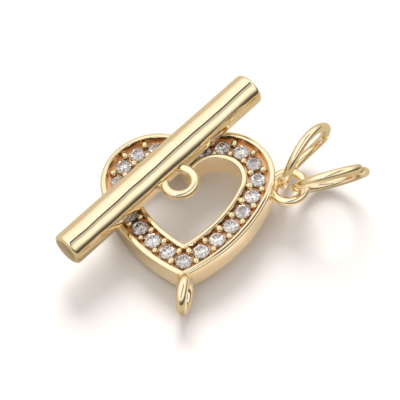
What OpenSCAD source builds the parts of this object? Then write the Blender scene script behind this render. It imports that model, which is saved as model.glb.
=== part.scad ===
// Toggle clasp: a heart-shaped ring set with round stones, a plain bar with a loop,
// and two jump rings on the heart's side loop. All sizes are in millimetres.
// The clasp is built lying down, with the heart's middle over the origin and the surface under it at z = 0.

/* [Heart ring] */
// Distance between the centres of the two lobes
lobe_spacing = 4.6; // [3.6:0.1:5.4]
// Radius of each lobe
lobe_r = 3.95; // [3.6:0.05:4.4]
// Radius of the long side arcs, from a lobe to the point
side_r = 12; // [10:0.5:16]
// Distance from the line through the lobes' centres down to the point
point_drop = 8.2; // [7.6:0.1:9]
// Thickness of the ring, front to back
thickness = 1.8; // [1.5:0.1:2.4]
// Width of the ring between its outer wall and its opening
frame_width = 2.3; // [2:0.05:2.5]
// Radius of the opening's two lobes
opening_lobe_r = 1.85; // [1.7:0.05:2.1]
// Slope of the line on which a lobe of the opening lies, beyond the slope of the heart's own lobe
opening_lobe_slope = 2.3; // [0.6:0.1:4.6]
// Height of the V at the opening's top above the lobes' centre line
opening_cleft = 0.2; // [0:0.05:0.4]

/* [Channel and rims] */
// Width of the outer rim round the stones
outer_rim = 0.4; // [0.3:0.05:0.5]
// Width of the inner rim round the opening
inner_rim = 0.35; // [0.25:0.05:0.45]
// Depth of the channel that holds the stones
channel_depth = 0.6; // [0.4:0.05:0.8]
// Distance of the row of stones from the middle of the channel, towards the opening
row_shift = 0.08; // [0:0.01:0.1]

/* [Stones] */
// Diameter of a stone
stone_d = 1.15; // [0.95:0.05:1.2]
// Stones on each side, between the one at the point and the one at the cleft
side_stones = 10; // [8:1:10]
// Depth of the stones' tables below the rims
table_depth = 0.2; // [0.1:0.05:0.35]
// Gap between a stone and the seat drilled for it
seat_gap = 0.04; // [0.02:0.01:0.08]
// Gap between a stone's girdle and a rim or bead that stands close, where the burr has cut it back
girdle_gap = 0.01; // [0.01:0.005:0.03]
// Gap between the stone at the cleft and the inner rim
rim_gap = 0.03; // [0.02:0.01:0.08]

/* [Beads that hold the stones] */
// Diameter of a bead
bead_d = 0.36; // [0.3:0.02:0.38]
// Distance of a bead from the middle of the row of stones
bead_offset = 0.46; // [0.42:0.02:0.5]
// Depth of a bead's top below the rims
bead_depth = 0.1; // [0.05:0.05:0.2]

/* [Loop at the point] */
// Outer diameter of the loop at the point
tip_loop_d = 3; // [2.8:0.1:3.4]
// Thickness of its wire
tip_loop_wire = 0.8; // [0.6:0.05:0.9]
// Distance of its centre beyond the point
tip_loop_reach = 0.9; // [0.8:0.05:1.2]
// Turn of the loop from square across the ring, as it was soldered on
tip_loop_turn = 8; // [0:1:12]
// Sideways place of its centre
tip_loop_shift = 0.1; // [0:0.05:0.2]

/* [Loop at the side] */
// Outer diameter of the side loop
side_loop_d = 3.1; // [3.1:0.1:3.6]
// Thickness of its wire
side_loop_wire = 0.65; // [0.6:0.05:0.7]
// Gap between the heart's wall and the hole of the side loop
side_loop_gap = 0.02; // [0:0.01:0.1]
// Direction of the side loop from the lobe's centre, below the horizontal
side_loop_slope = 5.5; // [0:0.5:12]

/* [Jump rings] */
// Outer diameter of a jump ring
jump_ring_d = 5.8; // [5.4:0.1:6.2]
// Thickness of a jump ring's wire
jump_ring_wire = 0.65; // [0.5:0.05:0.65]
// Direction in which the upper jump ring points, seen from above
upper_turn = 54.5; // [53:0.5:56]
// Lean of the upper jump ring away from upright
upper_lean = 17.5; // [16:0.5:19]
// Height of the upper jump ring's middle above the side loop's middle
upper_lift = 0.5; // [0.4:0.02:0.54]
// Distance from the middle of the side loop's hole to where the upper jump ring passes
upper_seat = 0.32; // [0.28:0.02:0.34]
// Direction in which the lower jump ring points, seen from above
lower_turn = 16; // [12:1:18]
// Lean of the lower jump ring away from upright
lower_lean = 28; // [26:0.5:30]
// Height of the lower jump ring's middle above the side loop's middle
lower_lift = 0.1; // [0.04:0.02:0.2]
// Distance from the middle of the side loop's hole to where the lower jump ring passes
lower_seat = 0.5; // [0.46:0.02:0.54]

/* [Toggle bar] */
// Length of the bar
bar_length = 18.45; // [16:0.05:20]
// Diameter of the bar
bar_d = 2.45; // [2.2:0.05:2.8]
// Rounding of the bar's end edges
bar_rounding = 0.3; // [0.1:0.05:0.4]
// Direction of the bar across the heart, from the horizontal
bar_turn = 47.7; // [44:0.1:52]
// Sideways place of the bar's middle on the heart
bar_x = -1.75; // [-2.2:0.05:-1.2]
// Place of the bar's middle up or down the heart
bar_y = 0; // [-0.4:0.05:0.5]
// Gap between the bar and the rims on which it lies
bar_gap = 0.05; // [0.03:0.01:0.1]

/* [Loop of the bar] */
// Outer diameter of the bar's loop
bar_loop_d = 2.85; // [2.6:0.05:3.2]
// Thickness of its wire
bar_loop_wire = 0.7; // [0.5:0.05:0.75]
// Distance of its centre from the bar's axis
bar_loop_reach = 1.8; // [1.65:0.05:1.9]
// Place of the loop along the bar, from the bar's middle
bar_loop_shift = 0.05; // [-0.4:0.05:0.4]
// Droop of the loop below the level of the bar's axis
bar_loop_droop = 5; // [0:1:15]

/* [How the clasp lies] */
// Sideways tilt of the heart, whose right side lies up on the jump rings
side_tilt = 6.4; // [5:0.2:8]

/* [Hidden] */
arc_steps = 120;
wire_steps = 48;
bead_steps = 24;
cut = 1;
sink = 0.1;

// A side arc takes over from its lobe this many degrees past the place where the two touch.
seam_turn = 2;

// The side arc bends round one centre, found from the lobe it touches and the point it ends in.
lobe = [lobe_spacing / 2, 0];
point = [0, -point_drop];
to_point = norm(point - lobe);
toward = (point - lobe) / to_point;
lobe_to_side = side_r - lobe_r;
along = (lobe_to_side * lobe_to_side - side_r * side_r + to_point * to_point) / (2 * to_point);
across = sqrt(lobe_to_side * lobe_to_side - along * along);
side_centre = lobe + along * toward + across * [toward[1], -toward[0]];
lobe_turn = atan2(lobe[1] - side_centre[1], lobe[0] - side_centre[0]);

// The opening's side arcs share that centre, and its lobes touch them.
opening_side_r = side_r - frame_width;
opening_turn = lobe_turn - opening_lobe_slope;
opening_lobe = side_centre + (opening_side_r - opening_lobe_r) * [cos(opening_turn), sin(opening_turn)];
cleft = [0, opening_cleft];
cleft_to_lobe = norm(opening_lobe - cleft);
flank_angle = atan2(opening_lobe[1] - cleft[1], opening_lobe[0])
    + asin(opening_lobe_r / cleft_to_lobe);

// The row of stones runs near the middle between the two rims' inner walls.
row_inset = (outer_rim + frame_width - inner_rim) / 2 + row_shift;
row_lobe_r = lobe_r - row_inset;
row_side_r = side_r - row_inset;
row_point = side_centre[1] - sqrt(row_side_r * row_side_r - side_centre[0] * side_centre[0]);
row_start = atan2(row_point - side_centre[1], -side_centre[0]);
row_end = 180 - acos(lobe[0] / row_lobe_r);
side_run = row_side_r * (lobe_turn - row_start) * PI / 180;
lobe_run = row_lobe_r * (row_end - lobe_turn) * PI / 180;
stone_step = (side_run + lobe_run) / (side_stones + 1);
stone_count = 2 * side_stones + 2;
cleft_stone_y = opening_cleft + (inner_rim + stone_d / 2 + rim_gap) / cos(flank_angle);

// Shares of a stone's diameter that make a round brilliant cut
table_share = 0.56;
star_share = 0.78;
crown_share = 0.15;
star_height_share = 0.09;
girdle_share = 0.03;
pavilion_share = 0.43;
pavilion_break_share = 0.3;
pavilion_break_depth = 0.94;
facets = 8;

floor_z = thickness - channel_depth;
girdle_z = thickness - table_depth - crown_share * stone_d;
cone_z = girdle_z - girdle_share * stone_d;
least_seat_share = 0.125;
cone_spread = 0.5 / pavilion_share;
seat_r = max(stone_d / 2 - (cone_z - floor_z) * cone_spread, least_seat_share * stone_d) + seat_gap;
seat_depth = pavilion_share * stone_d - (cone_z - floor_z) + seat_gap;

tip_loop_r = (tip_loop_d - tip_loop_wire) / 2;
side_loop_r = (side_loop_d - side_loop_wire) / 2;
side_loop_hole_r = side_loop_r - side_loop_wire / 2;
side_loop_reach = lobe_r + side_loop_gap + side_loop_hole_r;
side_loop_at = lobe + side_loop_reach * [cos(side_loop_slope), -sin(side_loop_slope)];
jump_ring_r = (jump_ring_d - jump_ring_wire) / 2;
bar_loop_r = (bar_loop_d - bar_loop_wire) / 2;
bar_z = thickness + bar_gap + bar_d / 2;

// Direction from the middle of the side loop's hole to where each jump ring passes through it
upper_seat_angle = 165;
lower_seat_angle = -30;

// The heart lies on the back edge of its left lobe and on the bottom of its tip loop.
tip_loop_y = -point_drop - tip_loop_reach;
lobe_low = -sin(side_tilt) * lobe_spacing / 2;
function lobe_height(tip) = lobe_low
    - lobe_r * sqrt(pow(sin(side_tilt), 2) + pow(cos(side_tilt) * sin(tip), 2));
function loop_lean(tip) = sin(side_tilt) * cos(tip_loop_turn)
    + cos(side_tilt) * sin(tip) * sin(tip_loop_turn);
function loop_height(tip) = sin(side_tilt) * tip_loop_shift
    + cos(side_tilt) * (cos(tip) * thickness / 2 - sin(tip) * tip_loop_y)
    - tip_loop_r * sqrt(1 - pow(loop_lean(tip), 2)) - tip_loop_wire / 2;
function level_tip(low, high, steps) = steps == 0 ? (low + high) / 2
    : loop_height((low + high) / 2) > lobe_height((low + high) / 2)
    ? level_tip(low, (low + high) / 2, steps - 1)
    : level_tip((low + high) / 2, high, steps - 1);
most_tip_tilt = 12;
tilt_steps = 24;
tip_tilt = level_tip(-most_tip_tilt, most_tip_tilt, tilt_steps);
rest_height = -lobe_height(tip_tilt);

stone_names = [for (k = [1 : stone_count]) str("stone_", k < 10 ? "0" : "", k)];

// Sets what is drawn flat, back down at z = 0, in its place as the clasp lies.
module lying() {
    translate([0, 0, rest_height]) rotate([-tip_tilt, -side_tilt, 0]) children();
}

module both_sides() {
    children();
    mirror([1, 0]) children();
}

// Solid between the two side arcs, below the lines from each arc's end to the lobes
module side_arcs(radius, lobe_at, reach) {
    outward = atan2(lobe_at[1] - side_centre[1], lobe_at[0] - side_centre[0]) - seam_turn;
    shoulder = lobe_at + reach * [cos(outward), sin(outward)];
    bottom = -point_drop - reach;
    intersection_for (side = [0, 1]) {
        mirror([side, 0]) intersection() {
            translate(side_centre) circle(r = radius, $fn = 2 * arc_steps);
            polygon([
                [-lobe_at[0], lobe_at[1]],
                lobe_at,
                shoulder,
                [shoulder[0], bottom],
                [-shoulder[0], bottom],
                [-shoulder[0], shoulder[1]]
            ]);
        }
    }
}

// The heart's outline, moved inwards by inset
module heart_outline(inset) {
    both_sides() translate(lobe) circle(r = lobe_r - inset, $fn = arc_steps);
    side_arcs(side_r - inset, lobe, lobe_r);
}

// The opening's outline, moved outwards by grow, with straight flanks down to the V at its top
module opening_outline(grow) {
    flank = [cos(flank_angle), sin(flank_angle)];
    run = sqrt(cleft_to_lobe * cleft_to_lobe - opening_lobe_r * opening_lobe_r);
    tip_up = cleft + [0, grow / cos(flank_angle)];
    touch = cleft + run * flank + grow * [-flank[1], flank[0]];
    both_sides() {
        translate(opening_lobe) circle(r = opening_lobe_r + grow, $fn = arc_steps);
        polygon([tip_up, touch, opening_lobe, [0, opening_lobe[1]]]);
    }
    side_arcs(opening_side_r + grow, opening_lobe, opening_lobe_r);
}

// Place on the row of stones at a distance from the point, on the right side
function row_place(run) = run < side_run
    ? let (turn = row_start + run / row_side_r * 180 / PI)
        side_centre + row_side_r * [cos(turn), sin(turn)]
    : let (turn = lobe_turn + (run - side_run) / row_lobe_r * 180 / PI)
        lobe + row_lobe_r * [cos(turn), sin(turn)];

// Outward direction of the row at that place
function row_out(run) = run < side_run
    ? (row_place(run) - side_centre) / row_side_r
    : (row_place(run) - lobe) / row_lobe_r;

// Stones are numbered from the point up the right side to the cleft, then up the left side.
function stone_run(k) = (k <= side_stones + 1 ? k : k - side_stones - 1) * stone_step;
function stone_side(k) = k <= side_stones + 1 ? 1 : -1;
function stone_at(k) = k == side_stones + 1 ? [0, max(row_place(stone_run(k))[1], cleft_stone_y)]
    : [stone_side(k) * row_place(stone_run(k))[0], row_place(stone_run(k))[1]];

module seats() {
    for (k = [0 : stone_count - 1]) {
        translate([stone_at(k)[0], stone_at(k)[1], floor_z - seat_depth])
            cylinder(r = seat_r, h = seat_depth + cut, $fn = wire_steps);
    }
}

// The burr that opens the seats also clears the stones' girdles where a rim or a bead stands close.
module girdle_room() {
    for (k = [0 : stone_count - 1]) {
        translate([stone_at(k)[0], stone_at(k)[1], floor_z + seat_gap / 2])
            cylinder(r = stone_d / 2 + girdle_gap, h = channel_depth + cut, $fn = wire_steps);
    }
}

// A cut bead: a short post with a low rounded head, raised from the channel's floor
module bead() {
    r = bead_d / 2;
    top = thickness - bead_depth - floor_z;
    half_turn = 45;
    rotate_extrude($fn = bead_steps) polygon([
        [0, -sink],
        [r, -sink],
        [r, top - r],
        [r * cos(half_turn), top - r + r * sin(half_turn)],
        [0, top]
    ]);
}

// Two beads stand in each gap between neighbouring stones, one by each rim.
module beads() {
    for (side = [0, 1]) mirror([side, 0, 0]) {
        for (k = [0 : side_stones]) {
            run = (k + 0.5) * stone_step;
            for (way = [-1, 1]) {
                place = row_place(run) + way * bead_offset * row_out(run);
                translate([place[0], place[1], floor_z]) bead();
            }
        }
    }
}

// A ring of round wire, lying flat round the origin
module wire_ring(radius, wire) {
    rotate_extrude($fn = arc_steps) translate([radius, 0]) circle(d = wire, $fn = wire_steps);
}

// The loop at the point stands across the ring, nearly in line with the heart's middle.
module tip_loop() {
    translate([tip_loop_shift, tip_loop_y, thickness / 2]) rotate([0, 90, -tip_loop_turn])
        wire_ring(tip_loop_r, tip_loop_wire);
}

module side_loop() {
    translate([side_loop_at[0], side_loop_at[1], thickness / 2])
        wire_ring(side_loop_r, side_loop_wire);
}

module heart_frame() {
    difference() {
        linear_extrude(thickness) difference() {
            heart_outline(0);
            opening_outline(0);
        }
        translate([0, 0, floor_z]) linear_extrude(channel_depth + cut) difference() {
            heart_outline(outer_rim);
            opening_outline(inner_rim);
        }
    }
}

module heart_ring() {
    color([0.93, 0.79, 0.55]) lying() {
        difference() {
            union() {
                heart_frame();
                beads();
            }
            seats();
            girdle_room();
        }
        tip_loop();
        side_loop();
    }
}

// Corner k of a ring of a stone's corners, at a share of its radius and a height share
function corner(k, radius, height) = stone_d
    * [radius / 2 * cos(k * 180 / facets), radius / 2 * sin(k * 180 / facets), height];

// A round brilliant: table, stars, kites and girdle facets over a pavilion of kites, girdle at z = 0
module brilliant() {
    double = 2 * facets;
    table = [for (k = [0 : 2 : double - 1]) corner(k, table_share, crown_share)];
    stars = [for (k = [1 : 2 : double - 1]) corner(k, star_share, star_height_share)];
    upper = [for (k = [0 : double - 1]) corner(k, 1, 0)];
    lower = [for (k = [0 : double - 1]) corner(k, 1, -girdle_share)];
    breaks = [for (k = [1 : 2 : double - 1])
        corner(k, pavilion_break_share,
            (pavilion_break_share - 1) * pavilion_share * pavilion_break_depth
            - girdle_share)];
    culet = [[0, 0, -(girdle_share + pavilion_share) * stone_d]];
    first_star = facets;
    first_upper = 2 * facets;
    first_lower = first_upper + double;
    first_break = first_lower + double;
    last = first_break + facets;
    polyhedron(
        points = concat(table, stars, upper, lower, breaks, culet),
        faces = concat(
            [[for (k = [facets - 1 : -1 : 0]) k]],
            [for (k = [0 : facets - 1]) [k, (k + 1) % facets, first_star + k]],
            [for (k = [0 : facets - 1])
                [k, first_star + k, first_upper + 2 * k]],
            [for (k = [0 : facets - 1])
                [k, first_upper + 2 * k, first_star + (k + facets - 1) % facets]],
            [for (k = [0 : facets - 1]) [first_star + k, first_upper + 2 * k + 1, first_upper + 2 * k]],
            [for (k = [0 : facets - 1])
                [first_star + k, first_upper + (2 * k + 2) % double, first_upper + 2 * k + 1]],
            [for (k = [0 : double - 1])
                [first_upper + k, first_upper + (k + 1) % double, first_lower + (k + 1) % double]],
            [for (k = [0 : double - 1])
                [first_upper + k, first_lower + (k + 1) % double, first_lower + k]],
            [for (k = [0 : facets - 1]) [first_lower + 2 * k, first_lower + 2 * k + 1, first_break + k]],
            [for (k = [0 : facets - 1])
                [first_lower + 2 * k + 1, first_lower + (2 * k + 2) % double, first_break + k]],
            [for (k = [0 : facets - 1]) [first_lower + 2 * k, first_break + k, last]],
            [for (k = [0 : facets - 1])
                [first_lower + 2 * k, last, first_break + (k + facets - 1) % facets]]
        )
    );
}

// Stone k lies in its seat, with its table a little below the rims.
module stone(k) {
    color([0.93, 0.94, 0.97]) lying()
        translate([stone_at(k)[0], stone_at(k)[1], girdle_z]) brilliant();
}

// A jump ring whose wire passes down through the side loop, at a place given round its hole
module jump_ring(seat, seat_angle, turn, lean, lift) {
    passes = side_loop_at + seat * [cos(seat_angle), sin(seat_angle)];
    centre = passes + jump_ring_r * [cos(turn), sin(turn)];
    color([0.91, 0.79, 0.56]) lying()
        translate([centre[0], centre[1], thickness / 2 + lift])
        rotate([0, 0, turn]) rotate([lean - 90, 0, 0])
        wire_ring(jump_ring_r, jump_ring_wire);
}

module jump_ring_upper() {
    jump_ring(upper_seat, upper_seat_angle, upper_turn, upper_lean, upper_lift);
}

module jump_ring_lower() {
    jump_ring(lower_seat, lower_seat_angle, lower_turn, lower_lean, lower_lift);
}

// The bar is a plain round rod with softened ends, and its loop is soldered to it at mid length.
module toggle_bar() {
    round_steps = 4;
    color([0.94, 0.81, 0.57]) lying()
        translate([bar_x, bar_y, bar_z]) rotate([0, 0, bar_turn]) {
            rotate([0, 90, 0]) rotate_extrude($fn = arc_steps) polygon(concat(
                [[0, -bar_length / 2]],
                [for (k = [0 : round_steps])
                    [bar_d / 2 - bar_rounding * (1 - sin(k * 90 / round_steps)),
                    -bar_length / 2 + bar_rounding * (1 - cos(k * 90 / round_steps))]],
                [for (k = [round_steps : -1 : 0])
                    [bar_d / 2 - bar_rounding * (1 - sin(k * 90 / round_steps)),
                    bar_length / 2 - bar_rounding * (1 - cos(k * 90 / round_steps))]],
                [[0, bar_length / 2]]
            ));
            rotate([bar_loop_droop, 0, 0]) translate([bar_loop_shift, -bar_loop_reach, 0])
                wire_ring(bar_loop_r, bar_loop_wire);
        }
}

heart_ring();
for (k = [0 : stone_count - 1]) {
    stone(k);
}
jump_ring_upper();
jump_ring_lower();
toggle_bar();
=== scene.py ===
"""Looks of a heart toggle clasp: pale gold plate, clear round stones, a white floor and soft light."""
import math

import bmesh
import bpy
import numpy as np
from mathutils import Matrix


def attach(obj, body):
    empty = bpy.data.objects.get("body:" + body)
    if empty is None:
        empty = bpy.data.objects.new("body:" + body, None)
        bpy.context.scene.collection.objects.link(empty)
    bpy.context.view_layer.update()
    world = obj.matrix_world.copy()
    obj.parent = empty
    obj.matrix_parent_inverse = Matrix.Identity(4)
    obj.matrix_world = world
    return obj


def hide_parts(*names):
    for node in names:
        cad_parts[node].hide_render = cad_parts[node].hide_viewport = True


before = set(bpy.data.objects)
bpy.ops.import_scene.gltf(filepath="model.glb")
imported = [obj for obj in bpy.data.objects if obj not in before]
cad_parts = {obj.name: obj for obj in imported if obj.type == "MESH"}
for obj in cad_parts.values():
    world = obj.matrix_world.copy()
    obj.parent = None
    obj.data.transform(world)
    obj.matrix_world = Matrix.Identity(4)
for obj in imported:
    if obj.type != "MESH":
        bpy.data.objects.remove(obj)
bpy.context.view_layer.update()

# How the clasp lies
# The heart lies with its right side up on the jump rings. Everything is drawn in the heart's own frame,
# in millimetres with the back at z = 0, and lay() sets it down where the clasp lies in the world.
MM = 0.001
SIDE_TILT = math.radians(6.4)
TIP_TILT = math.radians(-0.70525)
REST_HEIGHT = 0.69932
TURN = np.array(Matrix.Rotation(-SIDE_TILT, 3, "Y") @ Matrix.Rotation(-TIP_TILT, 3, "X"))


def lay(points):
    """World places in metres of points p in the heart's frame: 0.001 (TURN p + (0, 0, rest height))."""
    return (np.asarray(points) @ TURN.T + [0, 0, REST_HEIGHT]) * MM


# Gold plate
# All the metal is brass with a thin pale gold plate, tumbled to soft waves and fine hairlines. It is
# a deeper orange where solder has run. The channel is rough and painted a darker, coppery orange as
# painted shade; the bar's sawn end faces are rougher and painted tan as a painted reflection of shade.
PALE_GOLD = (0.93, 0.80, 0.57, 1)
DEEP_GOLD = (0.92, 0.76, 0.50, 1)
SOLDER_GOLD = (0.80, 0.50, 0.24, 1)
# Painted shade: the darker orange painted on the channel and on the beads' feet.
CHANNEL_SHADE_GOLD = (0.75, 0.46, 0.25, 1)
# Painted reflection of shade: the dark tan painted on the bar's end faces.
END_SHADE_GOLD = (0.40, 0.32, 0.19, 1)
SOLDER_AT = [((0, -8.15, 1.5), 0.6), ((6.35, -0.9, 0.9), 0.5), ((-1.55, -1.45, 2.9), 0.45)]
SOLDER_CORE = 0.35
CLOUDS_PER_M = 420
WAVES_PER_M = 330
HAIRLINES_PER_M = 9000
GRAINS_PER_M = 12000
HAIRLINE_RUN = (0.25, 1.0, 0.6)
WAVE_HEIGHT = 3.0
HAIRLINE_HEIGHT = 0.008
GRAIN_HEIGHT = 0.25
POLISHED = 0.06


class Number:
    """A number that varies over a surface: a node's output, to which each sign adds a Math node."""

    def __init__(self, tree, socket):
        self.tree = tree
        self.socket = socket

    def maths(self, operation, *parts):
        node = self.tree.nodes.new("ShaderNodeMath")
        node.operation = operation
        for part, entry in zip(parts, node.inputs):
            if isinstance(part, Number):
                self.tree.links.new(part.socket, entry)
            else:
                entry.default_value = part
        return Number(self.tree, node.outputs[0])

    def __add__(self, other):
        return self.maths("ADD", self, other)

    def __sub__(self, other):
        return self.maths("SUBTRACT", self, other)

    def __mul__(self, other):
        return self.maths("MULTIPLY", self, other)

    def __rsub__(self, other):
        return self.maths("SUBTRACT", other, self)

    __radd__ = __add__
    __rmul__ = __mul__

    def size(self):
        return self.maths("ABSOLUTE", self)

    def step(self, low, high):
        """0 at low and 1 at high, smooth between them."""
        node = self.tree.nodes.new("ShaderNodeMapRange")
        node.interpolation_type = "SMOOTHSTEP"
        self.tree.links.new(self.socket, node.inputs["Value"])
        node.inputs["From Min"].default_value = low
        node.inputs["From Max"].default_value = high
        return Number(self.tree, node.outputs["Result"])


class Nodes:
    """A node tree that nodes are added to: the type, then its settings, then what goes into it."""

    def __init__(self, tree):
        self.tree = tree
        tree.nodes.clear()

    def add(self, kind, settings=(), sockets=()):
        node = self.tree.nodes.new("ShaderNode" + kind)
        for name, value in dict(settings).items():
            setattr(node, name, value)
        for name, value in dict(sockets).items():
            if isinstance(value, Number):
                value = value.socket
            if isinstance(value, bpy.types.NodeSocket):
                self.tree.links.new(value, node.inputs[name])
            else:
                node.inputs[name].default_value = value
        return node

    def noise(self, where, scale, detail):
        node = self.add("TexNoise", {}, {"Vector": where, "Scale": scale, "Detail": detail})
        return Number(self.tree, node.outputs[0])

    def attribute(self, name):
        node = self.add("Attribute", {"attribute_name": name})
        return Number(self.tree, node.outputs["Fac"])

    def dot(self, where, direction):
        node = self.add("VectorMath", {"operation": "DOT_PRODUCT"}, {0: where, 1: tuple(direction)})
        return Number(self.tree, node.outputs["Value"])

    def far(self, where, place):
        node = self.add("VectorMath", {"operation": "DISTANCE"}, {0: where, 1: tuple(place)})
        return Number(self.tree, node.outputs["Value"])

    def mix(self, share, first, second):
        return self.add("Mix", {"data_type": "RGBA"}, {0: share, 6: first, 7: second}).outputs[2]


def gold_plate():
    """Colour from clouds, solder and painted shade in the channel and on end faces; bump from waves,
    hairlines, cast grain.
    """
    material = bpy.data.materials.new("gold_plate")
    material.use_nodes = True
    nodes = Nodes(material.node_tree)
    where = nodes.add("TexCoord").outputs["Object"]
    stretched = nodes.add("Mapping", {}, {"Vector": where, "Scale": HAIRLINE_RUN}).outputs[0]
    clouds = nodes.noise(where, CLOUDS_PER_M, 3.0)
    waves = nodes.noise(where, WAVES_PER_M, 1.0)
    hairlines = nodes.noise(stretched, HAIRLINES_PER_M, 4.0)
    cast_and_shade = nodes.attribute("cast_and_shade")
    sawn_and_shade = nodes.attribute("sawn_and_shade")
    # The channel and the beads' feet (marked 1) take the painted shade colour; walls marked 0.4 are only
    # rougher.
    in_channel = cast_and_shade.step(0.4, 0.9)
    grain = nodes.noise(where, GRAINS_PER_M, 3.0) * in_channel
    heat = sum(1 - nodes.far(where, lay(place)).step(reach * SOLDER_CORE * MM, reach * MM)
               for place, reach in SOLDER_AT)
    colour = nodes.mix(clouds.step(0.35, 0.75), PALE_GOLD, DEEP_GOLD)
    colour = nodes.mix(heat * 0.7, colour, SOLDER_GOLD)
    # Painted shade: the channel and the beads' feet are painted darker orange.
    colour = nodes.mix(in_channel, colour, CHANNEL_SHADE_GOLD)
    # Painted reflection of shade: the bar's end faces are painted dark tan in patches.
    colour = nodes.mix(sawn_and_shade * clouds.step(0.3, 0.6), colour, END_SHADE_GOLD)
    height = waves * WAVE_HEIGHT + hairlines * HAIRLINE_HEIGHT + grain * GRAIN_HEIGHT
    bump = nodes.add("Bump", {}, {"Height": height, "Strength": 0.4, "Distance": 0.0001})
    dulled = hairlines.step(0.3, 0.8) * 0.05 + heat * 0.1 + cast_and_shade * 0.26 + sawn_and_shade * 0.15
    shader = nodes.add("BsdfPrincipled", {}, {
        "Base Color": colour,
        "Metallic": 1.0,
        "Roughness": dulled + POLISHED,
        "Normal": bump.outputs[0],
    })
    nodes.add("OutputMaterial", {}, {"Surface": shader.outputs[0]})
    return material


gold = gold_plate()

# Heart ring
# A frame of one thickness between two heart outlines of arcs, with a channel cut between polished rims.
# The channel's floor is burred to a cone under each stone, and beads raised from it hold the stones.
THICKNESS = 1.8
LOBE = np.array([2.3, 0.0])
LOBE_R = 3.95
SIDE_R = 12.0
POINT = np.array([0.0, -8.2])
FRAME_WIDTH = 2.3
HOLE_LOBE_R = 1.85
HOLE_LOBE_LAG = math.radians(2.3)
HOLE_CLEFT = np.array([0.0, 0.2])
OUTER_RIM = 0.4
INNER_RIM = 0.35
RIM_CROWN = 0.02
OUTER_ROUND = 0.2
INNER_ROUND = 0.12
CHANNEL_ROUND = 0.05
CHANNEL_SLOPE = 0.02
BACK_ROUND = 0.06
CHANNEL_FLOOR = THICKNESS - 0.6
STONE_D = 1.15
STONES_A_SIDE = 10
STONE_GAP = 0.03
BURR_ROOM = 0.06
TABLE_DEPTH = 0.2
CROWN = 0.15 * STONE_D
GIRDLE = 0.03 * STONE_D
PAVILION = 0.43 * STONE_D
GIRDLE_TOP = THICKNESS - TABLE_DEPTH - CROWN
SIDE_STEPS = 130
LOBE_STEPS = 110
FLANK_STEPS = 30
RIM_STEPS = 7
BACK_STEPS = 5
FLOOR_ROWS = 24


def pointing(turn):
    """Flat direction (cos t, sin t)."""
    return np.array([math.cos(turn), math.sin(turn)])


def meet(centre, radius_a, place, radius_b):
    """Where the circle about centre crosses the circle about place, left of the way between them."""
    way = place - centre
    span = np.linalg.norm(way)
    along = (radius_a ** 2 - radius_b ** 2 + span ** 2) / (2 * span)
    across = math.sqrt(radius_a ** 2 - along ** 2)
    return centre + (along * way + across * np.array([way[1], -way[0]])) / span


SIDE_CENTRE = meet(LOBE, SIDE_R - LOBE_R, POINT, SIDE_R)
HOLE_SIDE_R = SIDE_R - FRAME_WIDTH
TOUCH = math.atan2(LOBE[1] - SIDE_CENTRE[1], LOBE[0] - SIDE_CENTRE[0])
HOLE_TOUCH = TOUCH - HOLE_LOBE_LAG
HOLE_LOBE = SIDE_CENTRE + (HOLE_SIDE_R - HOLE_LOBE_R) * pointing(HOLE_TOUCH)
FLANK_RUN = math.sqrt(np.sum((HOLE_LOBE - HOLE_CLEFT) ** 2) - HOLE_LOBE_R ** 2)
FLANK = math.atan2(HOLE_LOBE[1] - HOLE_CLEFT[1], HOLE_LOBE[0]) \
    + math.asin(HOLE_LOBE_R / np.linalg.norm(HOLE_LOBE - HOLE_CLEFT))


def arc(centre, radius, start, end, count):
    """Points c + r (cos t, sin t) for t from start up to, but without, end."""
    t = np.linspace(start, end, count, endpoint=False)
    return centre + radius * np.stack([np.cos(t), np.sin(t)], -1)


def bottom_turn(radius):
    """Direction from the side arcs' centre to where a circle of this radius crosses the middle line."""
    return math.atan2(-math.sqrt(radius ** 2 - SIDE_CENTRE[0] ** 2), -SIDE_CENTRE[0])


def outer_half(inset):
    """Right half of the outline moved inwards by inset: an arc of R - i, then a lobe's arc of r - i."""
    radius = LOBE_R - inset
    side = arc(SIDE_CENTRE, SIDE_R - inset, bottom_turn(SIDE_R - inset), TOUCH, SIDE_STEPS)
    top = math.pi - math.acos(LOBE[0] / radius)
    lobe = arc(LOBE, radius, TOUCH, top, LOBE_STEPS + FLANK_STEPS)
    return np.concatenate([side, lobe, [LOBE + radius * pointing(top)]])


def inner_half(grow):
    """Right half of the opening moved outwards by g: arcs of R + g and r + g, and a flank to the V."""
    side = arc(SIDE_CENTRE, HOLE_SIDE_R + grow, bottom_turn(HOLE_SIDE_R + grow), HOLE_TOUCH, SIDE_STEPS)
    lobe = arc(HOLE_LOBE, HOLE_LOBE_R + grow, HOLE_TOUCH, FLANK + math.pi / 2, LOBE_STEPS)
    run = np.linspace(1, 0, FLANK_STEPS + 1)[:, None]
    touch = HOLE_CLEFT + FLANK_RUN * pointing(FLANK) + grow * pointing(FLANK + math.pi / 2)
    tip = HOLE_CLEFT + [0, grow / math.cos(FLANK)]
    return np.concatenate([side, lobe, run * touch + (1 - run) * tip])


def whole(half):
    """Right half from the point to the cleft, then its mirror image back to the point."""
    return np.concatenate([half, half[-2:0:-1] * [-1, 1]])


def rim(start, end, near, far):
    """Rows (offset, z) over a polished rim between its walls at start and end, both edges rounded."""
    t = np.linspace(0, np.pi / 2, RIM_STEPS)
    way = np.sign(end - start)
    up = np.stack([start + way * near * (1 - np.cos(t)), THICKNESS - near * (1 - np.sin(t))], -1)
    down = np.stack([end - way * far * (1 - np.sin(t)), THICKNESS - far * (1 - np.cos(t))], -1)
    flat = np.linspace(up[-1, 0], down[0, 0], RIM_STEPS + 2)[1:-1]
    dome = RIM_CROWN * (1 - np.linspace(-1, 1, RIM_STEPS + 2)[1:-1] ** 2)
    return np.concatenate([up, np.stack([flat, THICKNESS + dome], -1), down])


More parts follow.
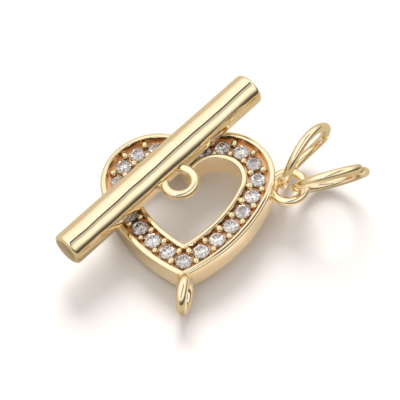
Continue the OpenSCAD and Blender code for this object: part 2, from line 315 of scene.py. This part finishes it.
ROW_SHIFT = 0.08
ROW_INSET = (OUTER_RIM + FRAME_WIDTH - INNER_RIM) / 2 + ROW_SHIFT
ROW_SIDE_R = SIDE_R - ROW_INSET
ROW_LOBE_R = LOBE_R - ROW_INSET
ROW_START = bottom_turn(ROW_SIDE_R)
SIDE_RUN = ROW_SIDE_R * (TOUCH - ROW_START)
LOBE_RUN = ROW_LOBE_R * (math.pi - math.acos(LOBE[0] / ROW_LOBE_R) - TOUCH)
STONE_STEP = (SIDE_RUN + LOBE_RUN) / (STONES_A_SIDE + 1)
CLEFT_STONE_Y = HOLE_CLEFT[1] + (INNER_RIM + STONE_D / 2 + STONE_GAP) / math.cos(FLANK)


def row_place(run):
    """Place on the stones' row at a distance from the point, and the row's outward direction there."""
    run = np.asarray(run, float)
    on_side = run < SIDE_RUN
    turn = np.where(on_side, ROW_START + run / ROW_SIDE_R, TOUCH + (run - SIDE_RUN) / ROW_LOBE_R)
    out = np.stack([np.cos(turn), np.sin(turn)], -1)
    side = SIDE_CENTRE + ROW_SIDE_R * out
    return np.where(on_side[..., None], side, LOBE + ROW_LOBE_R * out), out


right_row, _ = row_place(np.arange(STONES_A_SIDE + 2) * STONE_STEP)
right_row[-1] = [0, max(right_row[-1, 1], CLEFT_STONE_Y)]
STONE_PLACES = np.concatenate([right_row, right_row[1:-1] * [-1, 1]])


def channel_floor(across):
    """Floor between the rims, burred to a cone under the nearest stone: min(floor, cone (distance))."""
    away = np.linalg.norm(across[..., None, :] - STONE_PLACES, axis=-1).min(-1)
    cone = GIRDLE_TOP - GIRDLE - PAVILION * (1 - away / (STONE_D / 2)) - BURR_ROOM
    height = np.where(away < STONE_D / 2, np.minimum(CHANNEL_FLOOR, cone), CHANNEL_FLOOR)
    return np.concatenate([across, height[..., None]], -1)


def back_edge():
    """Rows (offset, z) round the back's edge, from the back up to the wall."""
    t = np.linspace(0, np.pi / 2, BACK_STEPS)[:, None]
    return np.concatenate([BACK_ROUND * (1 - np.sin(t)), BACK_ROUND * (1 - np.cos(t))], -1)


def outer_section():
    """Rows (offset, z) from the back over the outer rim down to the channel's floor."""
    rows = rim(0, OUTER_RIM, OUTER_ROUND, CHANNEL_ROUND)
    return np.concatenate([back_edge(), rows, [[OUTER_RIM + CHANNEL_SLOPE, CHANNEL_FLOOR]]])


def inner_section():
    """Rows (offset, z) from the channel's floor over the inner rim down to the back."""
    rows = rim(INNER_RIM, 0, CHANNEL_ROUND, INNER_ROUND)
    return np.concatenate([[[INNER_RIM + CHANNEL_SLOPE, CHANNEL_FLOOR]], rows, back_edge()[::-1]])


def grid(points, round_rows=False, round_columns=False):
    """Vertices and four-cornered faces of a surface P(i, j), closed along each way that is round."""
    rows, columns = points.shape[:2]
    i = np.arange(rows if round_rows else rows - 1)[:, None]
    j = np.arange(columns if round_columns else columns - 1)[None, :]
    after_i = (i + 1) % rows
    after_j = (j + 1) % columns
    corners = [
        i * columns + j,
        i * columns + after_j,
        after_i * columns + after_j,
        after_i * columns + j,
    ]
    return points.reshape(-1, 3), [np.stack(corners, -1).reshape(-1, 4)]


def heart_shell():
    """The frame as one closed grid: rows over the section, columns round the heart."""
    outer_rows = [np.insert(whole(outer_half(offset)), 2, z, axis=1) for offset, z in outer_section()]
    inner_rows = [np.insert(whole(inner_half(offset)), 2, z, axis=1) for offset, z in inner_section()]
    share = np.linspace(0, 1, FLOOR_ROWS + 2)[1:-1, None, None]
    across = (1 - share) * outer_rows[-1][None, :, :2] + share * inner_rows[0][None, :, :2]
    return grid(np.concatenate([outer_rows, channel_floor(across), inner_rows]), True, True)


BEAD_OFF_ROW = 0.47
BEAD_R = (0.21, 0.25)
BEAD_UNDER_RIM = (0.03, 0.12)
BEAD_STRETCH = (1.0, 1.25)
BEAD_SPREAD = 1.15
BEAD_ROOT = CHANNEL_FLOOR - 0.1
BEAD_SIDES = 20


def revolve(profile, count):
    """Solid (r cos t, r sin t, z) turned from a profile (r, z) that starts and ends on the axis."""
    t = np.linspace(0, 2 * np.pi, count, endpoint=False)
    r, z = (column[:, None] for column in profile[1:-1].T)
    points, faces = grid(np.stack([r * np.cos(t), r * np.sin(t), z + 0 * t], -1), round_columns=True)
    top = len(points)
    first = np.arange(count)
    last = first + top - count
    fan = np.concatenate([
        np.stack([np.full(count, top), np.roll(first, -1), first], -1),
        np.stack([np.full(count, top + 1), last, np.roll(last, -1)], -1),
    ])
    poles = [[0, 0, profile[0, 1]], [0, 0, profile[-1, 1]]]
    return np.concatenate([points, poles]), faces + [fan]


def moved(shell, axes, centre):
    """The shell with its x, y and z along the axes a, b and d: centre + x a + y b + z d."""
    points, faces = shell
    return points @ np.asarray(axes, float) + centre, faces


def beads():
    """Round-headed posts, two in each gap of the row: a dome (r sin t, r cos t) over a wider foot."""
    place, out = row_place((np.arange(STONES_A_SIDE + 1) + 0.5) * STONE_STEP)
    dice = np.random.default_rng(3)
    t = np.linspace(0, np.pi / 2, 8)
    shells = []
    for way in (-BEAD_OFF_ROW, BEAD_OFF_ROW):
        for (x, y), (out_x, out_y) in zip(place + way * out, out):
            for side in (-1, 1):
                radius = dice.uniform(*BEAD_R)
                top = THICKNESS - dice.uniform(*BEAD_UNDER_RIM)
                dome = np.stack([radius * np.sin(t), top - radius * (1 - np.cos(t))], -1)
                foot = [[radius * BEAD_SPREAD, BEAD_ROOT], [0, BEAD_ROOT]]
                reach = np.array([side * out_x, out_y, 0])
                long_way = dice.uniform(*BEAD_STRETCH) * reach
                axes = [long_way, [-reach[1], reach[0], 0], [0, 0, 1]]
                profile = np.concatenate([dome, foot])
                shells.append(moved(revolve(profile, BEAD_SIDES), axes, [side * x, y, 0]))
    return shells


RING_STEPS = 160
WIRE_SIDES = 28
SMOOTH_UNDER = 35


def torus(radius, wire):
    """A closed ring of round wire: ((R + r cos v) cos u, (R + r cos v) sin u, r sin v)."""
    u = np.linspace(0, 2 * np.pi, RING_STEPS, endpoint=False)[:, None]
    v = np.linspace(0, 2 * np.pi, WIRE_SIDES, endpoint=False)[None, :]
    out = radius + wire / 2 * np.cos(v)
    rise = wire / 2 * np.sin(v) + 0 * u
    return grid(np.stack([out * np.cos(u), out * np.sin(u), rise], -1), True, True)


def lump(radii, count=24):
    """An ellipsoid (a cos u sin v, b sin u sin v, c cos v), as solder that has run."""
    v = np.linspace(0, np.pi, count)
    points, faces = revolve(np.stack([np.sin(v), np.cos(v)], -1), count)
    return points * radii, faces


def frame_of(normal, along):
    """Three axes: along, made square to the normal, the one square to both, and the normal."""
    n = np.asarray(normal, float) / np.linalg.norm(normal)
    a = np.asarray(along, float) - np.dot(along, n) * n
    a /= np.linalg.norm(a)
    return np.array([a, np.cross(n, a), n])


def make_piece(name, shells, material, body, nodes, sharp=SMOOTH_UNDER, mark=None):
    """One object of closed shells that stands for CAD nodes; mark is an attribute and its values."""
    starts = np.cumsum([0] + [len(points) for points, _ in shells])
    faces = [(block + start).tolist() for (_, blocks), start in zip(shells, starts) for block in blocks]
    mesh = bpy.data.meshes.new(name)
    mesh.from_pydata(lay(np.concatenate([points for points, _ in shells])).tolist(), [], sum(faces, []))
    work = bmesh.new()
    work.from_mesh(mesh)
    bmesh.ops.recalc_face_normals(work, faces=work.faces)
    work.to_mesh(mesh)
    work.free()
    mesh.shade_smooth()
    mesh.set_sharp_from_angle(angle=math.radians(sharp))
    mesh.materials.append(material)
    if mark:
        mesh.attributes.new(mark[0], "FLOAT", mark[1]).data.foreach_set("value", mark[2])
    thing = bpy.data.objects.new(name, mesh)
    bpy.context.scene.collection.objects.link(thing)
    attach(thing, body)
    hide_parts(*nodes)
    return thing


SIDE_LOOP_TURN = math.radians(-5.5)
SIDE_LOOP_WIRE = 0.65
SIDE_LOOP_R = (3.1 - SIDE_LOOP_WIRE) / 2
SIDE_DIRECTION = np.array([*pointing(SIDE_LOOP_TURN), 0])
SIDE_JOINT = np.array([*LOBE, THICKNESS / 2]) + (LOBE_R + 0.02) * SIDE_DIRECTION
SIDE_LOOP = SIDE_JOINT + (SIDE_LOOP_R - SIDE_LOOP_WIRE / 2) * SIDE_DIRECTION
SIDE_SOLDER = [0.25, 0.62, 0.4]
TIP_LOOP = np.array([0.1, POINT[1] - 0.9, THICKNESS / 2])
TIP_LOOP_TURN = math.radians(-8)
TIP_LOOP_R = 1.1
TIP_LOOP_WIRE = 0.8
TIP_SOLDER = [0.45, 0.32, 0.5]
TIP_JOINT = [0.05, -8.05, 1.2]
SATIN = 0.4
SATIN_UNDER = THICKNESS - 0.25
FEET_UNDER = THICKNESS - 0.3
across_loop = [*pointing(TIP_LOOP_TURN), 0]
bead_shells = beads()
heart_parts = [
    heart_shell(),
    *bead_shells,
    moved(torus(TIP_LOOP_R, TIP_LOOP_WIRE), frame_of(across_loop, [0, 0, -1]), TIP_LOOP),
    moved(torus(SIDE_LOOP_R, SIDE_LOOP_WIRE), np.eye(3), SIDE_LOOP),
    moved(lump(TIP_SOLDER), np.eye(3), TIP_JOINT),
    moved(lump(SIDE_SOLDER), frame_of([0, 0, 1], SIDE_DIRECTION), SIDE_JOINT),
]
heart_height = np.concatenate([points for points, _ in heart_parts])[:, 2]
frame_end = len(heart_parts[0][0])
beads_end = frame_end + sum(len(points) for points, _ in bead_shells)
rows_outside = len(outer_section())
columns = frame_end // (rows_outside + FLOOR_ROWS + len(inner_section()))
# Marks: 0.4 only roughens the walls low down; 1 roughens the channel and the beads' feet and paints them
# with painted shade.
cast_and_shade_marks = np.zeros(len(heart_height))
cast_and_shade_marks[:frame_end] = np.where(heart_height[:frame_end] < SATIN_UNDER, SATIN, 0)
cast_and_shade_marks[(rows_outside - 1) * columns:(rows_outside + FLOOR_ROWS + 1) * columns] = 1
cast_and_shade_marks[frame_end:beads_end] = heart_height[frame_end:beads_end] < FEET_UNDER
make_piece("heart_ring_plated", heart_parts, gold, "heart", ["heart_ring"],
           mark=("cast_and_shade", "POINT", cast_and_shade_marks))

# Stones
# Twenty-two colourless cubic zirconia in a round brilliant cut, each set by hand, so each is turned its
# own way about its axis and leans a few degrees in its seat.
TABLE_R = 0.56
STAR_R = 0.78
STAR_HEIGHT = 0.09 * STONE_D
BREAK_R = 0.3
BREAK_DEPTH = 0.658 * PAVILION
MOST_LEAN = 4.0
FACET_EDGE = 1
# How many facets of each stone are painted dark, and the tones: painted reflections of the dark seat.
DARK_SHARE = {1: 0.7, 8: 0.6, 11: 0.75, 12: 0.8, 15: 0.7, 16: 0.75, 2: 0.45}
USUAL_DARK_SHARE = 0.35
DARK_TONE = (0.05, 0.5)
BRIGHT_TONE = (0.8, 1.0)
BROWN_REFLECTION = (0.30, 0.21, 0.18, 1)
GREY_REFLECTION = (0.33, 0.31, 0.34, 1)
CLEAR = (0.99, 0.99, 1.0, 1)


def stone_paint():
    """Clear and very refractive; facets with a low tone, brown to grey, are a painted reflection of the
    dark seat.
    """
    material = bpy.data.materials.new("stone")
    material.use_nodes = True
    nodes = Nodes(material.node_tree)
    where = nodes.add("TexCoord").outputs["Object"]
    # Painted reflection: dark facets are painted brown or grey in patches.
    dark_reflection = nodes.mix(nodes.noise(where, 700, 1.0).step(0.4, 0.6), BROWN_REFLECTION, GREY_REFLECTION)
    shader = nodes.add("BsdfPrincipled", {}, {
        "Base Color": nodes.mix(nodes.attribute("tone"), dark_reflection, CLEAR),
        "Roughness": 0.0,
        "IOR": 2.15,
        "Transmission Weight": 1.0,
    })
    nodes.add("OutputMaterial", {}, {"Surface": shader.outputs[0]})
    return material


def brilliant():
    """Rings of corners r (cos t, sin t): table, stars, girdle top and bottom, breaks, and the culet."""
    half = STONE_D / 2
    sixteen = np.arange(16) * np.pi / 8
    rings = [
        (sixteen[::2], TABLE_R, CROWN),
        (sixteen[1::2], STAR_R, STAR_HEIGHT),
        (sixteen, 1.0, 0.0),
        (sixteen, 1.0, -GIRDLE),
        (sixteen[1::2], BREAK_R, -GIRDLE - BREAK_DEPTH),
    ]
    points = [
        np.stack([half * share * np.cos(t), half * share * np.sin(t), z + 0 * t], -1)
        for t, share, z in rings
    ]
    points.append(np.array([[0, 0, -GIRDLE - PAVILION]]))
    k = np.arange(8)
    after = (k + 1) % 8
    before = (k - 1) % 8
    all_round = np.arange(16)
    next_round = (all_round + 1) % 16
    table, star, top, low, broken, culet = 0, 8, 16, 32, 48, 56
    fours = np.concatenate([
        np.stack([table + k, star + k, top + 2 * k, star + before], -1),
        np.stack([low + 2 * k, broken + before, culet + 0 * k, broken + k], -1),
        np.stack([top + all_round, top + next_round, low + next_round, low + all_round], -1),
    ])
    threes = np.concatenate([
        np.stack([table + k, table + after, star + k], -1),
        np.stack([star + k, top + 2 * k + 1, top + 2 * k], -1),
        np.stack([star + k, top + (2 * k + 2) % 16, top + 2 * k + 1], -1),
        np.stack([low + 2 * k, low + 2 * k + 1, broken + k], -1),
        np.stack([low + 2 * k + 1, low + (2 * k + 2) % 16, broken + k], -1),
    ])
    return np.concatenate(points), [fours, threes, (table + k)[None, :]]


stone_material = stone_paint()
dice = np.random.default_rng(7)
for number, (x, y) in enumerate(STONE_PLACES, start=1):
    lean = np.radians(dice.uniform(-MOST_LEAN, MOST_LEAN, 2))
    axes = np.array(Matrix.Rotation(lean[0], 3, "X") @ Matrix.Rotation(lean[1], 3, "Y")
                    @ Matrix.Rotation(dice.uniform(0, np.pi / 4), 3, "Z")).T
    cut = moved(brilliant(), axes, [x, y, GIRDLE_TOP])
    facets = sum(len(block) for block in cut[1])
    # Facets picked at random are painted dark as a painted reflection.
    dark = dice.random(facets) < DARK_SHARE.get(number, USUAL_DARK_SHARE)
    tones = np.where(dark, dice.uniform(*DARK_TONE, facets), dice.uniform(*BRIGHT_TONE, facets))
    node = f"stone_{number:02d}"
    make_piece(node + "_cut", [cut], stone_material, "heart", [node],
               sharp=FACET_EDGE, mark=("tone", "FACE", tones))

# Jump rings
# Two open rings of round wire, each cut once and closed so that its ends nearly meet. They pass through
# the side loop, lean over it and hold the heart's right side up.
JUMP_WIRE = 0.65
JUMP_R = (5.8 - JUMP_WIRE) / 2
SLIT = 0.03
OPEN_STEPS = 240
END_SHARES = np.array([0.0001, 0.8, 0.95])
END_ROUND = 0.003


def open_ring(shift, bow, bow_turn):
    """An open torus, u from s to 2 pi - s, raised by shift u / 2 pi and bow sin(u + turn) squared."""
    u = np.linspace(SLIT, 2 * np.pi - SLIT, OPEN_STEPS)
    shares = np.concatenate([END_SHARES, np.ones(OPEN_STEPS), END_SHARES[::-1]])
    r = JUMP_WIRE / 2 * shares[:, None]
    u = np.concatenate([[u[0]] * 2, [u[0] + END_ROUND], u, [u[-1] - END_ROUND], [u[-1]] * 2])[:, None]
    v = np.linspace(0, 2 * np.pi, WIRE_SIDES, endpoint=False)[None, :]
    out = JUMP_R + r * np.cos(v)
    rise = r * np.sin(v) + shift * (u - np.pi) / (2 * np.pi) + bow * np.sin(u + bow_turn) ** 2
    return grid(np.stack([out * np.cos(u), out * np.sin(u), rise], -1), False, True)


def jump_ring(name, turn, lean, lift, seat, seat_turn, cut_turn, shift, bow):
    """A ring through the side loop, seat from its middle, cut at cut_turn and bent by shift and bow."""
    turn, lean, seat_turn, cut_turn = (math.radians(x) for x in (turn, lean, seat_turn, cut_turn))
    heading = np.array([*pointing(turn), 0])
    passes = SIDE_LOOP + seat * np.array([*pointing(seat_turn), 0])
    level = math.cos(lean) * np.array([*pointing(turn + math.pi / 2), 0])
    normal = level + [0, 0, math.sin(lean)]
    across = np.cross(normal, heading)
    axes = frame_of(normal, math.cos(cut_turn) * heading + math.sin(cut_turn) * across)
    wire = open_ring(shift, bow, cut_turn)
    ring = moved(wire, axes, passes + JUMP_R * heading + [0, 0, lift])
    make_piece(name + "_wire", [ring], gold, "heart", [name])


jump_ring("jump_ring_upper", 54.5, 17.5, 0.5, 0.32, 165, 6, 0.1, 0.48)
jump_ring("jump_ring_lower", 16, 28, 0.1, 0.5, -30, -38, 0.24, 0)

# Toggle bar
# A plain round rod with softened ends and nearly flat end faces, lying across the heart's rims, and a
# loop of wire soldered to its side at mid length.
BAR_TURN = math.radians(47.7)
BAR_R = 1.225
BAR_LENGTH = 18.45
BAR_AT = np.array([-1.75, 0, THICKNESS + 0.05 + BAR_R])
BAR_ALONG = np.array([*pointing(BAR_TURN), 0])
BAR_OUT = np.array([*pointing(BAR_TURN - math.pi / 2), 0])
BAR_SIDES = 120
BAR_STEPS = 60
END_BEND = 0.3
END_BULGE = 0.04
END_STEPS = 8
STRAIGHT_FROM = BAR_LENGTH / 2 - 0.4
# The end faces: rougher, and painted dark tan as a painted reflection of shade.
END_FACE_FROM = BAR_LENGTH / 2 - 0.06
END_FACE_R = BAR_R - 0.28


def bar_rod():
    """Profile (r, z): an end face that bulges a little, an edge rounded by (sin t, cos t), the rod."""
    t = np.linspace(0, np.pi / 2, END_STEPS + 1)[1:]
    face = np.linspace(0, BAR_R - END_BEND, END_STEPS)
    end = np.concatenate([
        np.stack([face, BAR_LENGTH / 2 - END_BULGE * (face / (BAR_R - END_BEND)) ** 2], -1),
        np.stack([BAR_R - END_BEND + END_BEND * np.sin(t),
                  BAR_LENGTH / 2 - END_BULGE - (END_BEND - END_BULGE) * (1 - np.cos(t))], -1),
    ])
    run = np.linspace(STRAIGHT_FROM, -STRAIGHT_FROM, BAR_STEPS)
    rod = np.stack([BAR_R + 0 * run, run], -1)
    return revolve(np.concatenate([end, rod, end[::-1] * [1, -1]]), BAR_SIDES)


LOOP_DROOP = math.radians(5)
LOOP_SHIFT = 0.05
LOOP_WIRE = 0.7
LOOP_R = (2.85 - LOOP_WIRE) / 2
LOOP_REACH = 1.8
SOLDER_REACH = 1.16
LOOP_OUT = math.cos(LOOP_DROOP) * BAR_OUT - math.sin(LOOP_DROOP) * np.array([0, 0, 1])
LOOP_UP = np.cross(BAR_ALONG, -LOOP_OUT)
loop_axes = [BAR_ALONG, LOOP_OUT, LOOP_UP]
loop_at = BAR_AT + LOOP_SHIFT * BAR_ALONG
solder_at = loop_at + SOLDER_REACH * LOOP_OUT
rod = moved(bar_rod(), [BAR_OUT, np.cross(BAR_ALONG, BAR_OUT), BAR_ALONG], BAR_AT)
bar_parts = [
    rod,
    moved(torus(LOOP_R, LOOP_WIRE), frame_of(LOOP_UP, BAR_ALONG), loop_at + LOOP_REACH * LOOP_OUT),
    moved(lump([0.4, 0.22, 0.27]), loop_axes, solder_at - 1.05 * BAR_ALONG),
    moved(lump([0.3, 0.2, 0.25]), loop_axes, solder_at + 0.95 * BAR_ALONG),
]
# The rod's end faces are marked: rougher, and painted dark tan as a painted reflection of shade.
from_middle = rod[0] - BAR_AT
along_rod = from_middle @ BAR_ALONG
off_axis = np.linalg.norm(from_middle - along_rod[:, None] * BAR_ALONG, axis=1)
end_face_marks = np.zeros(sum(len(points) for points, _ in bar_parts))
end_face_marks[:len(along_rod)] = (np.abs(along_rod) > END_FACE_FROM) & (off_axis < END_FACE_R)
make_piece("toggle_bar_plated", bar_parts, gold, "bar", ["toggle_bar"],
           mark=("sawn_and_shade", "POINT", end_face_marks))

# Floor
# A plain white sheet with a slight sheen, as a product is photographed on. What the metal mirrors of it
# is painted: a painted pool of light round the heart and painted shade further away, as if under dim
# cloth.
FLOOR_HALF = 0.6
FLOOR_SEEN = (0.77, 0.735, 0.725, 1)
LIT_FLOOR_MIRRORED = (0.97, 0.90, 0.83, 1)
SHADED_FLOOR_MIRRORED = (0.42, 0.37, 0.28, 1)
LIT_POOL_CENTRE = (3 * MM, -3.5 * MM, 0)
white = bpy.data.materials.new("floor")
white.use_nodes = True
paint = Nodes(white.node_tree)
on_floor = paint.add("TexCoord").outputs["Object"]
sheen = paint.noise(on_floor, 3.0, 1.0)
looked_at = paint.add("LightPath").outputs["Is Camera Ray"]
from_heart = paint.far(on_floor, LIT_POOL_CENTRE)
# Painted light and shade in what the metal mirrors: a painted pool of light near the heart, painted
# shade further out.
mirrored_light_and_shade = paint.mix(from_heart.step(5.5 * MM, 9 * MM), LIT_FLOOR_MIRRORED, SHADED_FLOOR_MIRRORED)
paper = paint.add("BsdfPrincipled", {}, {
    "Base Color": paint.mix(looked_at, mirrored_light_and_shade, FLOOR_SEEN),
    "Roughness": sheen * 0.05 + 0.4,
    "Specular IOR Level": 0.2,
})
paint.add("OutputMaterial", {}, {"Surface": paper.outputs[0]})
floor_corners = FLOOR_HALF * np.array([(-1, -1, 0), (1, -1, 0), (1, 1, 0), (-1, 1, 0)])
floor_mesh = bpy.data.meshes.new("floor")
floor_mesh.from_pydata(floor_corners.tolist(), [], [(0, 1, 2, 3)])
floor_mesh.materials.append(white)
floor = bpy.data.objects.new("floor", floor_mesh)
bpy.context.scene.collection.objects.link(floor)

# Light
# A white tent all round, with a dim slit over the camera, where it looks in, dim cloth low down in front
# and at the right, and one large soft lamp behind the clasp that throws its soft shadow to the front.
TENT = 1.25
SLIT_FROM = np.array([0.1, -0.547, 0.831])
SLIT_TO = np.array([0.384, 0.107, 0.917])
SLIT_DARKENS = 0.98
SLIT_EDGE_DARKENS = 0.5
FRONT_DARKENS = 0.85
LOW_DARKENS = 0.5
FRONT = [0.74, -0.67, 0]
TENT_WHITE = (1, 0.985, 0.96, 1)
TENT_LOW = (1, 0.9, 0.76, 1)


def turned(direction):
    """World direction of a direction d in the heart's frame: TURN d, made one long."""
    d = TURN @ np.asarray(direction, float)
    return d / np.linalg.norm(d)


world = bpy.data.worlds.new("studio")
bpy.context.scene.world = world
world.use_nodes = True
sky = Nodes(world.node_tree)
looking = sky.add("TexCoord").outputs["Generated"]
across_slit = sky.dot(looking, turned(np.cross(SLIT_FROM, SLIT_TO)))
near_slit = sky.dot(looking, turned(SLIT_FROM + SLIT_TO)).step(0.70, 0.84)
dark_half = (1 - (across_slit - 0.1).size().step(0.04, 0.085)) * near_slit
grey_half = (1 - (across_slit + 0.05).size().step(0.08, 0.3)) * near_slit
height = sky.dot(looking, (0, 0, 1))
low_front = (1 - height.step(0.2, 0.6)) * sky.dot(looking, turned(FRONT)).step(-0.1, 0.7)
low_round = 1 - height.step(0.0, 0.75)
slit_glow = (1 - dark_half * SLIT_DARKENS) * (1 - grey_half * SLIT_EDGE_DARKENS)
cloth_glow = (1 - low_front * FRONT_DARKENS) * (1 - low_round * LOW_DARKENS)
cloth = sky.mix(low_round, TENT_WHITE, TENT_LOW)
background = sky.add("Background", {}, {"Color": cloth, "Strength": TENT * slit_glow * cloth_glow})
plain = sky.add("Background", {}, {"Color": (1, 1, 1, 1), "Strength": 1.0})
seen = sky.add("LightPath").outputs["Is Camera Ray"]
both = sky.add("MixShader", {}, {0: seen, 1: background.outputs[0], 2: plain.outputs[0]})
sky.add("OutputWorld", {}, {"Surface": both.outputs[0]})

LAMP_AWAY = 0.55
lamp_way = np.array([-0.15, 1.1, 0.9])
lamp_way /= np.linalg.norm(lamp_way)
lamp_data = bpy.data.lights.new("key", "AREA")
lamp_data.shape = "DISK"
lamp_data.size = 0.32
lamp_data.energy = 3.5
lamp = bpy.data.objects.new("key", lamp_data)
lamp.visible_glossy = False
bpy.context.scene.collection.objects.link(lamp)
lamp_axes = Matrix(frame_of(lamp_way, [0, 0, 1]).T).to_4x4()
lamp.matrix_world = Matrix.Translation(lamp_way * LAMP_AWAY) @ lamp_axes

# Camera
# The photograph's own view, found by fitting a camera to the heart's edges: yaw, height and roll about
# the heart, 120 mm away, 14 pixels to the millimetre.
YAW = math.radians(10.365)
RISE = math.radians(56.176)
ROLL = math.radians(-9.837)
AWAY = 120.0
PIXELS_PER_MM = 13.982
FRAME_PIXELS = 400
TARGET = np.array([0.774, -0.809, 0])
back = np.array([math.sin(YAW) * math.cos(RISE), -math.cos(YAW) * math.cos(RISE), math.sin(RISE)])
level = np.array([*pointing(YAW), 0])
upright = np.cross(back, level)
right = math.cos(ROLL) * level + math.sin(ROLL) * upright
up = math.cos(ROLL) * upright - math.sin(ROLL) * level
camera_data = bpy.data.cameras.new("camera")
camera_data.sensor_width = 36
camera_data.lens = PIXELS_PER_MM * AWAY / FRAME_PIXELS * camera_data.sensor_width
camera_data.clip_start = 0.001
camera = bpy.data.objects.new("camera", camera_data)
bpy.context.scene.collection.objects.link(camera)
camera_axes = Matrix(np.array([turned(right), turned(up), turned(back)]).T).to_4x4()
camera.matrix_world = Matrix.Translation(lay(TARGET + back * AWAY)) @ camera_axes
bpy.context.scene.camera = camera
bpy.context.scene.view_settings.view_transform = "Standard"

bpy.context.view_layer.update()
